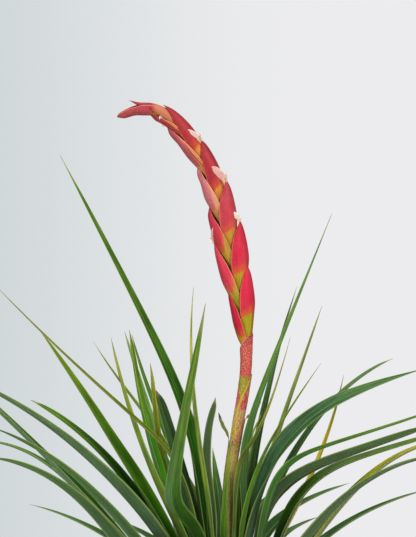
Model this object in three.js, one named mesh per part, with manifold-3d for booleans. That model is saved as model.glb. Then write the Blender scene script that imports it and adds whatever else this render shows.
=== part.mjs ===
// Air plant in flower: a rosette of narrow channelled leaves round a short stem, and one arching
// spike with folded pink bracts in two opposite rows. Millimetres, Z up, the surface is z = 0,
// the stem stands on the origin, and the spike arches over towards -X.
import * as THREE from "three";
import { mergeVertices } from "three/addons/utils/BufferGeometryUtils.js";
import Module from "manifold-3d";

const wasm = await Module();
wasm.setup();

// Stem
const STEM_TOP = 36;
const STEM_FOOT_R = 4.6;
const STEM_MID_R = 4.9;
const STEM_TOP_R = 2.9;
const CLEAR = 0.35;

// Leaves
const TURN = 137.508;
const FIRST_TURN = 20;
const LEAF_TOP = 33.5;
const LEAF_PITCH = 0.52;
const LEAF_STEPS = 10;
const BLADE = 0.62;
const MIDRIB = 0.9;
const TIP_WIDTH = 0.7;
const FOOT_WIDTH = 2.8;

// Flower stalk, and the axis of the spike that it carries on as
const STALK_FOOT_R = 1.5;
const STALK_R = 1.15;
const AXIS_R = 0.68;
const STALK_TIP_R = 0.5;
const STALK_STEPS = 30;
const SPIKE_ROLL = 12;

// Flower bracts: folded scales in a left-hand and a right-hand row. The left-hand ones stand out
// a little less, the last ones are shorter, and each is rooted ROOT_OUT from the axis.
const BRACTS = 13;
const BRACT_LENGTH = 24.5;
const BRACT_FIRST = 69.8;
const BRACT_PITCH = 7.35;
const BRACT_STEPS = 8;
const SCALE_THICK = 0.62;
const LEFT_SHARE = 0.94;
const SHORTER_BY = 1;
const ROOT_OUT = 1.5;

// Flowers, and the bracts that one looks out of, counted from the lowest
const IN_FLOWER = [2, 3, 5, 7, 8];
const TIP_LEAN = 0.95;
const TUBE_R = 0.32;
const PETAL_WIDTH = 1.9;
const PETAL_THICK = 0.6;

const rad = THREE.MathUtils.degToRad;
const vec = (x, y, z) => new THREE.Vector3(x, y, z);

// Seeded noise, so that every build makes the same plant
let seed = 4711;
function random() {
  seed = (seed * 1664525 + 1013904223) % 4294967296;
  return seed / 4294967296;
}
const about = (spread) => (random() * 2 - 1) * spread;

// Value of a curve given as [position, value] pairs, eased between them
function along(pairs, t) {
  if (t <= pairs[0][0]) return pairs[0][1];
  for (let i = 1; i < pairs.length; i++) {
    const [t0, v0] = pairs[i - 1];
    const [t1, v1] = pairs[i];
    if (t <= t1) {
      const k = (t - t0) / (t1 - t0);
      return v0 + (v1 - v0) * (0.5 * k + 0.5 * k * k * (3 - 2 * k));
    }
  }
  return pairs[pairs.length - 1][1];
}

// A ring laid flat in its own plane, for filling its ends
function flat(ring) {
  const normal = vec(0, 0, 0);
  const mid = vec(0, 0, 0);
  for (const p of ring) mid.addScaledVector(p, 1 / ring.length);
  for (let j = 0; j < ring.length; j++) {
    const a = ring[j].clone().sub(mid);
    const b = ring[(j + 1) % ring.length].clone().sub(mid);
    normal.add(a.cross(b));
  }
  normal.normalize();
  const u = ring[1].clone().sub(ring[0]);
  u.addScaledVector(normal, -u.dot(normal)).normalize();
  const v = normal.clone().cross(u);
  return ring.map((p) => {
    const off = p.clone().sub(mid);
    return new THREE.Vector2(off.dot(u), off.dot(v));
  });
}

// A closed skin over rings of points, each ring running the same way round
function skin(rings) {
  const n = rings[0].length;
  const points = rings.flat().flatMap((p) => [p.x, p.y, p.z]);
  const faces = [];
  for (let i = 0; i + 1 < rings.length; i++) {
    for (let j = 0; j < n; j++) {
      const a = i * n + j;
      const b = i * n + ((j + 1) % n);
      faces.push(a, b, b + n, a, b + n, a + n);
    }
  }
  const last = (rings.length - 1) * n;
  const ears = THREE.ShapeUtils.triangulateShape(flat(rings[0]), []);
  for (const [a, b, c] of ears) faces.push(a, c, b);
  const tops = THREE.ShapeUtils.triangulateShape(flat(rings[rings.length - 1]), []);
  for (const [a, b, c] of tops) faces.push(last + a, last + b, last + c);
  const g = new THREE.BufferGeometry();
  g.setAttribute("position", new THREE.Float32BufferAttribute(points, 3));
  g.setIndex(faces);
  return g;
}

// A mesh as a solid that can be joined to others, and back
function solid(geometry) {
  const g = geometry.clone();
  g.deleteAttribute("normal");
  g.deleteAttribute("uv");
  const merged = mergeVertices(g, 1e-4);
  const mesh = new wasm.Mesh({
    numProp: 3,
    vertProperties: merged.attributes.position.array,
    triVerts: new Uint32Array(merged.index.array),
  });
  return new wasm.Manifold(mesh);
}

function geometryOf(body) {
  const mesh = body.getMesh();
  const g = new THREE.BufferGeometry();
  g.setAttribute("position", new THREE.BufferAttribute(mesh.vertProperties, 3));
  g.setIndex(new THREE.BufferAttribute(mesh.triVerts, 1));
  return g;
}

const COLOURS = {
  leaf_dark: 0x4c6b45,
  leaf_green: 0x7d9c4c,
  leaf_grey: 0x7f8f73,
  leaf_olive: 0xa7a552,
  bract_pink: 0xd8325c,
  bract_red: 0xc2463a,
  sheath: 0xc08a63,
  stalk: 0xb06a52,
  petal: 0xf4e9df,
};

const plant = new THREE.Group();
function add(name, geometry, colour) {
  const material = new THREE.MeshStandardMaterial({
    color: COLOURS[colour],
    roughness: 0.6,
    metalness: 0,
  });
  material.name = colour;
  const mesh = new THREE.Mesh(geometry, material);
  mesh.name = name;
  plant.add(mesh);
}

// Radius of the stem at a height
function stemRadius(z) {
  return along([[0, STEM_FOOT_R], [12, STEM_MID_R], [26, 4.2], [STEM_TOP, STEM_TOP_R]], z);
}

// The leaves from the youngest at the top of the stem to the oldest at its foot. A leaf is
// [reach, height of tip, angle it rises at, angle of its tip, width, sideways sway, roll, colour, name]
// with reach and sway in mm from the stem's axis and the angles in degrees above level. A leaf
// with no name is one of the low or hidden ones, which are grown into the stem. The plant stands
// on its stem and on the tips of the lowest leaves.
const LEAVES = [
  [12.2, 89, 84.5, 58.4, 4.5, -0.1, -9.1, "leaf_green", "leaf_01"],
  [11.7, 92.9, 84.7, 103.6, 7.4, -18, 39.3, "leaf_dark", "leaf_02"],
  [51.7, 115.8, 87.1, 57.8, 3, -3.2, 2.5, "leaf_olive", "leaf_03"],
  [44, 92, 84, 40, 4.4, 0, 0, "leaf_dark", "leaf_04"],
  [14, 131, 84, 96, 4.2, 2, 20, "leaf_olive", "leaf_05"],
  [36.6, 155.1, 84.1, 67.8, 4.4, -6.4, -56.3, "leaf_dark", "leaf_06"],
  [82.2, 110.5, 77.7, 41, 4.6, -1.8, 55, "leaf_olive", "leaf_07"],
  [43, 84.8, 68, 84, 3, 5.9, 8.1, "leaf_green", "leaf_08"],
  [31, 131, 81, 66, 4.4, 1, 0, "leaf_grey", "leaf_09"],
  [55.7, 174.9, 78.3, 62.6, 7.5, 5.3, -33.7, "leaf_dark", "leaf_10"],
  [48, 108, 85, 40, 3.4, -8, 20, "leaf_green", "leaf_11"],
  [64, 72, 43, 26, 5.0, 0, 0, "leaf_dark", ""],
  [80.4, 127.2, 67.4, 81.7, 7, 56.4, 4.5, "leaf_green", "leaf_12"],
  [34.5, 124.4, 83.9, 69, 3, 10.8, -49.9, "leaf_olive", "leaf_13"],
  [23.6, 96.3, 66.5, 74.7, 5.4, 8.4, -24.9, "leaf_dark", "leaf_14"],
  [92, 54, 46, 10, 6.0, 0, 0, "leaf_dark", ""],
  [88, 58, 56, 4, 5.6, 0, 0, "leaf_dark", ""],
  [41.6, 114.7, 64.2, 78.2, 4.8, 2.7, 5.2, "leaf_olive", "leaf_15"],
  [70.2, 107.3, 81, 19.4, 6.4, 8.1, 35, "leaf_dark", "leaf_16"],
  [80.5, 112.8, 61.5, 64.2, 3.3, 5.6, 1.2, "leaf_dark", "leaf_17"],
  [84, 50, 48, 4, 6.0, 0, 0, "leaf_green", ""],
  [60.3, 106.3, 76.4, 22.1, 3.9, -5.5, 16.3, "leaf_grey", "leaf_18"],
  [34.8, 116.4, 64.5, 84.1, 7.9, -2.8, 0.6, "leaf_green", "leaf_19"],
  [90, 52, 44, 8, 5.6, 0, 0, "leaf_green", ""],
  [86, 54, 52, 4, 5.4, 0, 0, "leaf_dark", ""],
  [91.4, 137, 70.5, 39.6, 3, -12, -50.4, "leaf_olive", "leaf_20"],
  [69.1, 86.6, 77.3, 20.1, 5.4, -7.9, -51.4, "leaf_dark", "leaf_21"],
  [56.4, 114.8, 62.7, 63.7, 3.9, -1.8, -0.7, "leaf_grey", "leaf_22"],
  [90, 38, 42, 0, 6.2, 0, 0, "leaf_dark", ""],
  [60.1, 99.4, 54.7, 73.9, 3.2, -0.2, -0.4, "leaf_olive", "leaf_23"],
  [62.6, 116.8, 63.8, 55.8, 8.6, -0.3, -27.2, "leaf_green", "leaf_24"],
  [91.8, 96.5, 75.8, 19.3, 3, -8.4, -31.4, "leaf_green", "leaf_25"],
  [92, 46, 46, 0, 5.6, 0, 0, "leaf_dark", ""],
  [92, 44, 48, -2, 6.0, 12, 0, "leaf_green", ""],
  [78.4, 82.8, 67.1, 16.2, 7, -4.5, 12.9, "leaf_dark", "leaf_26"],
  [30.9, 104.9, 62, 84.7, 6.2, -3, 2.4, "leaf_olive", "leaf_27"],
  [96, 38, 42, 0, 6.0, 0, 0, "leaf_green", ""],
  [94, 44, 46, 0, 5.6, 0, 0, "leaf_dark", ""],
  [91.3, 103.1, 65.9, 25.7, 7.7, -4.9, 19, "leaf_grey", "leaf_28"],
  [73.9, 76.5, 60.1, 3.6, 8.4, 3.6, 0.6, "leaf_grey", "leaf_29"],
  [98, 44, 44, 0, 5.6, 0, 0, "leaf_dark", ""],
  [90, 30, 34, -4, 6.0, 0, 0, "leaf_grey", ""],
  [92, 58, 50, 6, 5.6, 0, 0, "leaf_dark", ""],
  [65.4, 93.4, 65.4, 28.5, 5.1, 7.1, -30.3, "leaf_dark", "leaf_30"],
  [94, 36, 38, -4, 5.8, 0, 0, "leaf_grey", ""],
  [92, 36, 38, -6, 5.6, 0, 0, "leaf_dark", ""],
  [97, 89.5, 47.2, 19.5, 5.9, -5.9, 9.2, "leaf_dark", "leaf_31"],
  [82.6, 79.6, 56.5, -4.6, 7.4, 0.1, 5.5, "leaf_olive", "leaf_32"],
  [92, 52, 46, 6, 5.4, 0, 0, "leaf_dark", ""],
  [88, 20, 26, -10, 6.0, 0, 0, "leaf_grey", ""],
  [96, 34, 38, -6, 5.6, 0, 0, "leaf_dark", ""],
  [95.4, 107.5, 53.8, 41, 8.6, -2, -11.1, "leaf_dark", "leaf_33"],
  [94, 26, 32, -10, 5.8, 0, 0, "leaf_grey", ""],
  [90, 22, 30, -14, 5.6, 0, 0, "leaf_grey", ""],
  [80, 0.3, 18, -26, 5.8, 0, 0, "leaf_grey", ""],
  [84, 0.3, 20, -26, 5.8, 0, 0, "leaf_grey", ""],
  [93.9, 77.4, 42.8, 0.1, 6.6, 0.2, 5.3, "leaf_green", "leaf_34"],
  [80, 0.3, 18, -26, 5.8, 0, 0, "leaf_grey", ""],
  [78, 0.3, 18, -26, 5.6, 0, 0, "leaf_grey", ""],
  [88.7, 78.4, 40.3, 9, 7.6, -3.2, 13.7, "leaf_dark", "leaf_35"],
  [90, 9, 20, -18, 5.4, 0, 0, "leaf_grey", ""],
  [78, 0.3, 16, -24, 5.4, 0, 0, "leaf_grey", ""],
];

// How far a leaf keeps its heading at its foot and at its tip, as a part of its chord
const HOLD_USUAL = [0.36, 0.36];
const HOLD = {
  leaf_03: [0.71, 0.74],
  leaf_06: [0.58, 0.8],
  leaf_10: [0.43, 0.8],
  leaf_12: [0.46, 0.74],
  leaf_16: [0.68, 0.4],
  leaf_20: [0.48, 0.8],
  leaf_21: [0.56, 0.69],
  leaf_25: [0.61, 0.72],
  leaf_26: [0.63, 0.63],
};

// One leaf: a long blade with raised margins that tapers to a fine tip
function leafGeometry(row, index, sunk) {
  const [reach, height, rise, dip, width, sway, roll] = row;
  const turn = rad(FIRST_TURN + index * TURN + about(2.5));
  const z0 = LEAF_TOP - index * LEAF_PITCH;
  const start = stemRadius(z0) + (sunk ? -1.2 : CLEAR + MIDRIB / 2);
  const out = vec(Math.cos(turn), Math.sin(turn), 0);
  const across = vec(-Math.sin(turn), Math.cos(turn), 0);
  const chord = Math.hypot(reach - start, height - z0);
  const [low, high] = (HOLD[row[8]] ?? HOLD_USUAL).map((part) => part * chord);
  const a = rad(rise);
  const b = rad(dip);
  const spot = (r, z, side) => out.clone().multiplyScalar(r).addScaledVector(across, side).setZ(z);
  const curve = new THREE.CubicBezierCurve3(
    spot(start, z0, 0),
    spot(start + low * Math.cos(a), z0 + low * Math.sin(a), 0),
    spot(reach - high * Math.cos(b), height - high * Math.sin(b), sway * 0.4),
    spot(reach, height, sway),
  );
  const spin = rad(roll);
  const rings = [];
  for (let i = 0; i <= LEAF_STEPS; i++) {
    const t = i / LEAF_STEPS;
    const p = curve.getPoint(t);
    const ahead = curve.getTangent(t);
    const side = across.clone().addScaledVector(ahead, -across.dot(ahead)).normalize();
    const up = ahead.clone().cross(side).normalize();
    side.applyAxisAngle(ahead, spin * Math.min(1, 2 * t));
    up.applyAxisAngle(ahead, spin * Math.min(1, 2 * t));
    const half = leafWidth(width, t) / 2;
    const fold = half * 0.62 * (1 - 0.35 * t) * Math.min(1, 0.35 + 5 * t);
    const rib = MIDRIB + (BLADE - MIDRIB) * t;
    const at = (s, h) => p.clone().addScaledVector(side, s).addScaledVector(up, h);
    rings.push([
      at(-half, fold - BLADE / 2),
      at(0, -rib / 2),
      at(half, fold - BLADE / 2),
      at(half, fold + BLADE / 2),
      at(0, rib / 2),
      at(-half, fold + BLADE / 2),
    ]);
  }
  return skin(rings);
}

// Width of a leaf along its length
function leafWidth(width, t) {
  const shape = [
    [0, FOOT_WIDTH],
    [0.12, 0.62 * width],
    [0.3, width],
    [0.65, 0.62 * width],
    [0.86, 0.3 * width],
    [1, TIP_WIDTH],
  ];
  return along(shape, t);
}

// The stem, with the leaves that stand low or behind grown into it
const stemProfile = [new THREE.Vector2(0, 0)];
for (let i = 0; i <= 6; i++) {
  const z = (i * STEM_TOP) / 6;
  stemProfile.push(new THREE.Vector2(stemRadius(z), z));
}
stemProfile.push(new THREE.Vector2(0, STEM_TOP));
const stemCore = new THREE.LatheGeometry(stemProfile, 16).rotateX(Math.PI / 2);
let leafyStem = solid(stemCore);
LEAVES.forEach((row, i) => {
  if (row[8]) {
    add(row[8], leafGeometry(row, i, false), row[7]);
  } else {
    leafyStem = leafyStem.add(solid(leafGeometry(row, i, true)));
  }
});
add("leafy_stem", geometryOf(leafyStem), "leaf_grey");

// The middle line of the flower stalk, from the top of the stem to the end of the spike
const STALK_LINE = new THREE.CatmullRomCurve3(
  [
    vec(0, 0, STEM_TOP + CLEAR),
    vec(-0.3, 0, 52),
    vec(0, 0, 67.7),
    vec(1.7, 0, 80),
    vec(4.3, 0, 93.3),
    vec(6.2, 0, 103.3),
    vec(6.4, 0, 113.3),
    vec(5.1, 0, 123.3),
    vec(2.8, 0, 136),
    vec(-0.9, 0, 152.7),
    vec(-4.7, 0, 166.3),
    vec(-9.3, 0, 175),
    vec(-15.5, 0, 183.4),
    vec(-22.5, 0, 188.8),
    vec(-29.5, 0, 190),
    vec(-37, 0, 187.6),
  ],
  false,
  "centripetal",
);
STALK_LINE.arcLengthDivisions = 800;
const STALK_LENGTH = STALK_LINE.getLength();

// Point and directions of the stalk at a length along it: ahead, out to the right-hand row of
// bracts, and to the front. Past its end the line runs on straight.
function stalkAt(s) {
  const u = Math.min(1, Math.max(0, s / STALK_LENGTH));
  const ahead = STALK_LINE.getTangentAt(u);
  const at = STALK_LINE.getPointAt(u).addScaledVector(ahead, s - u * STALK_LENGTH);
  const right = vec(0, 1, 0).cross(ahead).normalize();
  const front = vec(0, -1, 0);
  const roll = rad(SPIKE_ROLL * Math.min(1, Math.max(0, (s - 40) / 30)));
  const out = right.clone().multiplyScalar(Math.cos(roll)).addScaledVector(front, Math.sin(roll));
  const face = front.clone().multiplyScalar(Math.cos(roll)).addScaledVector(right, -Math.sin(roll));
  return { at, ahead, out, face };
}

// Flower stalk with the axis of the spike
const stalkRings = [];
const stalkEnd = bractBase(BRACTS - 1) + 3;
const stalkRadius = [[0, STALK_FOOT_R], [45, STALK_R], [59, STALK_R], [67, AXIS_R], [160, STALK_TIP_R]];
for (let i = 0; i <= STALK_STEPS; i++) {
  const s = (i / STALK_STEPS) * stalkEnd;
  const r = along(stalkRadius, s);
  const f = stalkAt(s);
  const ring = [];
  for (let j = 0; j < 8; j++) {
    const q = (j / 8) * 2 * Math.PI;
    const p = f.at.clone().addScaledVector(f.out, r * Math.cos(q));
    ring.push(p.addScaledVector(f.face, -r * Math.sin(q)));
  }
  stalkRings.push(ring);
}
add("flower_stalk", skin(stalkRings), "stalk");

// Cross-section of a folded scale: outer line from the front margin round the keel to the back
// margin, then the inner line back again
function foldedRing(f, sign, keel, margin, half, close) {
  const shape = [[1, close], [0.7, 1], [0.28, 0.8], [0, 0], [0.28, -0.8], [0.7, -1], [1, -close]];
  const wide = keel - margin;
  const deep = Math.max(half - SCALE_THICK, 0.08) / half;
  const inset = Math.min(SCALE_THICK * 1.1, wide * 0.6);
  const outer = shape.map(([k, n]) => [keel - wide * k, half * n]);
  const inner = shape.map(([k, n]) => [keel - inset - (wide - inset) * k, half * deep * n]);
  const place = ([a, b]) => {
    const p = f.at.clone().addScaledVector(f.out, sign * a);
    return p.addScaledVector(f.face, b);
  };
  const ring = [...outer.map(place), ...inner.reverse().map(place)];
  return sign > 0 ? ring : ring.reverse();
}

// Shape of a flower bract along its length: how far out its keel stands, where its margins lie
// (below zero is past the middle of the spike) and half its thickness
const KEEL = [[0, 1.6], [0.15, 2.3], [0.32, 3.5], [0.5, 4.9], [0.68, 5.4], [0.85, 5.35], [1, 5.1]];
const MARGIN = [[0, -0.9], [0.15, -1.1], [0.3, -1.0], [0.45, -0.2], [0.6, 1.0], [0.78, 2.9], [1, 4.65]];
const HALF = [[0, 1.35], [0.14, 1.55], [0.3, 2.15], [0.48, 2.9], [0.68, 2.8], [0.85, 1.9], [1, 0.55]];
const CLOSE = [[0, 0.9], [0.3, 0.97], [0.6, 1], [0.8, 0.9], [1, 0.8]];

// How far the spike narrows towards its end, by length along the stalk
const SWELL = [[112, 1], [120, 0.96], [128, 0.86], [137, 0.72], [156, 0.66], [166, 0.56], [178, 0.44]];

// Where along the stalk a bract is rooted: evenly spaced, and closer towards the end of the spike
function bractBase(i) {
  const late = Math.max(0, i - 8);
  return BRACT_FIRST + i * BRACT_PITCH - 0.12 * late * late;
}

// A distance out from the middle of the spike, drawn in where the spike is narrower
function narrowed(out, s) {
  return out < ROOT_OUT ? out : ROOT_OUT + (out - ROOT_OUT) * along(SWELL, s);
}

// The bracts of the younger flowers stand off a little more
const looser = (i) => 0.24 * Math.max(0, i - 5);

// Flower bracts: even ones in the left-hand row, odd ones in the right-hand row
for (let i = 0; i < BRACTS; i++) {
  const sign = i % 2 ? 1 : -1;
  const base = bractBase(i);
  const length = BRACT_LENGTH - SHORTER_BY * Math.max(0, i - 8);
  const share = sign > 0 ? 1 : LEFT_SHARE;
  const rings = [];
  for (let k = 0; k <= BRACT_STEPS; k++) {
    const u = k / BRACT_STEPS;
    const f = stalkAt(base + length * u);
    const lean = IN_FLOWER.includes(i) ? along([[0.5, 0], [1, TIP_LEAN + looser(i)]], u) : 0;
    const s = base + length * u;
    const keel = narrowed(lean + along(KEEL, u), s) * (1 - (1 - share) * Math.min(1, 4 * u));
    const margin = narrowed(lean + along(MARGIN, u), s) * (u > 0.5 ? share : 1);
    const half = along(HALF, u) * (0.8 + 0.2 * along(SWELL, s));
    rings.push(foldedRing(f, sign, keel, margin, half, along(CLOSE, u)));
  }
  const colour = i < 8 ? "bract_pink" : "bract_red";
  add("flower_bract_" + String(i + 1).padStart(2, "0"), skin(rings), colour);
}

// A flower: a thin tube that runs up inside its bract and three petals that turn out at its mouth.
// Places are given as [length along the stalk from the root of the bract, how far out, how far
// to the front].
const TUBE_PATH = [
  [8.5, 1.6, 0],
  [12, 1.95, 0],
  [15.5, 2.7, 0],
  [19, 3.4, 0],
  [22, 4.05, 0],
  [24.2, 4.5, 0],
];
const PETAL_PATHS = [
  [[23.9, 4.6, 0], [25.6, 4.85, 0.1], [26.8, 5.7, 0.3], [27.5, 6.9, 0.5]],
  [[23.9, 4.65, 0.2], [25.9, 4.6, 1.5], [26.8, 4.3, 3.1], [28.4, 3.2, 4.0]],
  [[23.9, 4.65, -0.2], [25.9, 4.6, -1.5], [26.4, 5, -2.8], [27, 5.4, -4]],
];
const PETAL_SHAPE = [0.5, 0.9, 1, 0.42];

function ribbon(points, widths, thick) {
  return skin(
    points.map((p, i) => {
      const before = points[Math.max(0, i - 1)];
      const after = points[Math.min(points.length - 1, i + 1)];
      const ahead = after.clone().sub(before).normalize();
      const start = points[1].clone().sub(points[0]);
      const end = points[points.length - 1].clone().sub(points[points.length - 2]);
      const bend = end.cross(start).normalize();
      const across = bend.addScaledVector(ahead, -bend.dot(ahead)).normalize();
      const normal = ahead.clone().cross(across);
      const w = widths[i] / 2;
      const at = (a, b) => p.clone().addScaledVector(across, a).addScaledVector(normal, b);
      return [at(-w, -thick / 2), at(w, -thick / 2), at(w, thick / 2), at(-w, thick / 2)];
    }),
  );
}

IN_FLOWER.forEach((i, n) => {
  const sign = i % 2 ? 1 : -1;
  const share = sign > 0 ? 1 : LEFT_SHARE;
  const base = bractBase(i);
  const spot = ([s, out, front]) => {
    const f = stalkAt(base + s);
    const away = narrowed(out + looser(i) * along([[14, 0], [22, 1]], s), base + s);
    const side = sign * away * (s > 15 ? share : 1);
    return f.at.addScaledVector(f.out, side).addScaledVector(f.face, front);
  };
  const rings = TUBE_PATH.map(([s, out, front]) => {
    const f = stalkAt(base + s);
    const mid = spot([s, out, front]);
    const ring = [];
    for (let j = 0; j < 6; j++) {
      const q = (j / 6) * 2 * Math.PI;
      const p = mid.clone().addScaledVector(f.out, TUBE_R * Math.cos(q));
      ring.push(p.addScaledVector(f.face, -TUBE_R * Math.sin(q)));
    }
    return ring;
  });
  let flower = solid(skin(rings));
  for (const path of PETAL_PATHS) {
    const widths = PETAL_SHAPE.map((w) => w * PETAL_WIDTH);
    flower = flower.add(solid(ribbon(path.map(spot), widths, PETAL_THICK)));
  }
  add("flower_" + (n + 1), geometryOf(flower), "petal");
});

// Sheathing bracts of the stalk. A row is [length along the stalk, distance of the blade from the
// middle of the stalk, half its width as an angle round the stalk in degrees].
function sheath(name, towards, stations, colour) {
  const rows = [stations[0]];
  for (let i = 1; i < stations.length; i++) {
    const parts = Math.abs(stations[i][2] - stations[i - 1][2]) > 30 ? 4 : 1;
    for (let k = 1; k <= parts; k++) {
      const before = stations[i - 1];
      rows.push(stations[i].map((v, c) => before[c] + ((v - before[c]) * k) / parts));
    }
  }
  const rings = rows.map(([s, r, spread]) => {
    const f = stalkAt(s);
    const ring = [];
    for (const [radius, way] of [[r + SCALE_THICK / 2, 1], [r - SCALE_THICK / 2, -1]]) {
      for (let j = -4; j <= 4; j++) {
        const q = rad(towards + (way * j * spread) / 4);
        const p = f.at.clone().addScaledVector(f.out, radius * Math.cos(q));
        ring.push(p.addScaledVector(f.face, radius * Math.sin(q)));
      }
    }
    return ring;
  });
  add(name, skin(rings.map((ring) => ring.reverse())), colour);
}

sheath("stalk_bract_01", 190, [
  [10, 2.15, 150],
  [24, 2.05, 150],
  [29, 2.4, 60],
  [34, 3.2, 26],
  [42, 4.6, 11],
  [52, 6.4, 3.4],
], "sheath");
sheath("stalk_bract_02", 10, [
  [30, 1.8, 150],
  [41, 1.8, 150],
  [45, 2.4, 50],
  [48, 3.6, 20],
  [52, 5.6, 8],
  [57, 7.4, 2.8],
], "sheath");
sheath("stalk_bract_03", 60, [
  [46, 1.78, 150],
  [55, 1.78, 150],
  [58.5, 2.5, 56],
  [62, 2.8, 24],
  [68, 3.2, 6.5],
], "sheath");
sheath("stalk_bract_04", 0, [
  [59.5, 1.78, 150],
  [68, 1.82, 150],
  [72, 2.25, 80],
  [75.5, 2.5, 40],
  [79, 2.7, 9],
], "bract_pink");

export default plant;
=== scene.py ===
"""Looks of an air plant in flower: leaves, folded bracts, small white flowers, light and camera.

Sizes are in millimetres, turned to metres where a mesh is made. The leaves and the stalk follow the
lines of the solid model, so each piece lies where its solid does. Only the middle lines of leaf_06,
leaf_11, leaf_16 and leaf_20 run up to 1.4 mm beside those of their solids, and leaf_16 ends 2.4 mm
and leaf_20 6.2 mm short of theirs. The outlines of bracts, sheaths and petals are finer here and
have tables of their own.
"""
import math

import bpy
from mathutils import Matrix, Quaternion, Vector, noise


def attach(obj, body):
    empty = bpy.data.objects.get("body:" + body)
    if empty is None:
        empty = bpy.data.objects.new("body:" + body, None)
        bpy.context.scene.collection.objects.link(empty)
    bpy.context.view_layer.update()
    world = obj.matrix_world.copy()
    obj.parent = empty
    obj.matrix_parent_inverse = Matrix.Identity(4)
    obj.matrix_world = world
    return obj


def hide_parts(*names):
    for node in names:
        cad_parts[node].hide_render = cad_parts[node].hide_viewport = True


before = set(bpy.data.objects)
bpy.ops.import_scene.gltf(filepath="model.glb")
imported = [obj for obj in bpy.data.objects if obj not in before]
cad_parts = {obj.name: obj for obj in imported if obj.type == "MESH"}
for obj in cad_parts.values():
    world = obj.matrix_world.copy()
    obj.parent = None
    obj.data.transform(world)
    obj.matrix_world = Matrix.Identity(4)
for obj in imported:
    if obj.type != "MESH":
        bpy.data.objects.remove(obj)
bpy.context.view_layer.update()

MM = 0.001

# Camera of the photograph: level, 0.7 m in front of the plant. The long side of its picture is
# PHOTO_TALL pixels, and an object at that distance is drawn at PIXELS_PER_MM.
PHOTO_TALL = 537
PIXELS_PER_MM = 3.0
CAMERA_AWAY = 700.0
CAMERA_X = -6.67
CAMERA_Z = 137.17
SENSOR = 36.0

# Stem: its radius at each height, the one of the bark that is shown, and how far the single leaves
# and the stalk stand off it
STEM_TOP = 36
STEM_FOOT_R = 4.6
STEM_RADIUS = [(0, STEM_FOOT_R), (12, 4.9), (26, 4.2), (STEM_TOP, 2.9)]
BARK_RADIUS = [(0, STEM_FOOT_R - 0.15), (12, 4.6), (26, 4.0), (STEM_TOP, 2.7)]
CLEAR = 0.35

# Leaves: each one starts TURN degrees further round the stem, give or take TURN_SPREAD, and
# LEAF_PITCH lower than the one before. Those grown into the stem start GROWN_IN under its surface.
# CHANNEL is the depth of the channel as a part of half the width, and the two WANDER values are how
# far a leaf strays from its line halfway up.
TURN = 137.508
TURN_SPREAD = 2.5
LEAF_SEED = 4711
FIRST_TURN = 20
LEAF_TOP = 33.5
LEAF_PITCH = 0.52
GROWN_IN = 1.2
FOOT_WIDTH = 2.8
MIDRIB = 0.9
MIDRIB_TIP = 0.42
CHANNEL = 0.62
SIDE_WANDER = 0.55
UP_WANDER = 0.4
LEAF_STEPS = 60
HALF_POINTS = 8

# Stalk and spike: where along the stalk the lowest flower bract sits, how far apart the bracts
# are, and how much closer each one sits from number LATE on. The rows of bracts are rolled round
# the stalk by SPIKE_ROLL degrees, which begins at ROLL_START and is there after ROLL_RUN.
BRACT_FIRST = 69.8
BRACT_PITCH = 7.35
LATE = 8
CROWDING = 0.12
SPIKE_ROLL = 12
ROLL_START = 40
ROLL_RUN = 30
IN_FLOWER = [2, 3, 5, 7, 8]

# Each shell has a number of its own for its patterns, this far from the next one's
OWN_STEP = 3.1
SHEATH_OWN_STEP = 4.7

# The flower bracts from the lowest up: length, how far out the keel stands at its widest and at
# the tip, how much further the margins close in, how pale the bloom on its blade
SCALES = [
    (26.4, 4.3, 3.6, -0.8, 0.05),
    (25.4, 4.75, 3.9, 0.0, 0.1),
    (27.6, 5.9, 5.3, -1.1, 0.2),
    (25.2, 5.6, 5.1, 0.1, 0.1),
    (24.6, 5.7, 4.1, -0.75, 0.15),
    (24.4, 4.7, 4.1, 0.9, 0.2),
    (25.2, 5.2, 2.7, -0.6, 0.8),
    (24.7, 3.8, 3.2, 1.2, 0.1),
    (28.6, 4.4, 2.2, -0.6, 0.4),
    (25.4, 3.4, 3.1, 0.9, 0.1),
    (21.6, 2.85, 1.5, 0.0, 0.15),
    (21.0, 2.6, 3.9, 0.0, 0.0),
    (19.9, 2.0, 0.1, 0.0, 0.25),
]
BRACTS = len(SCALES)

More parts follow.
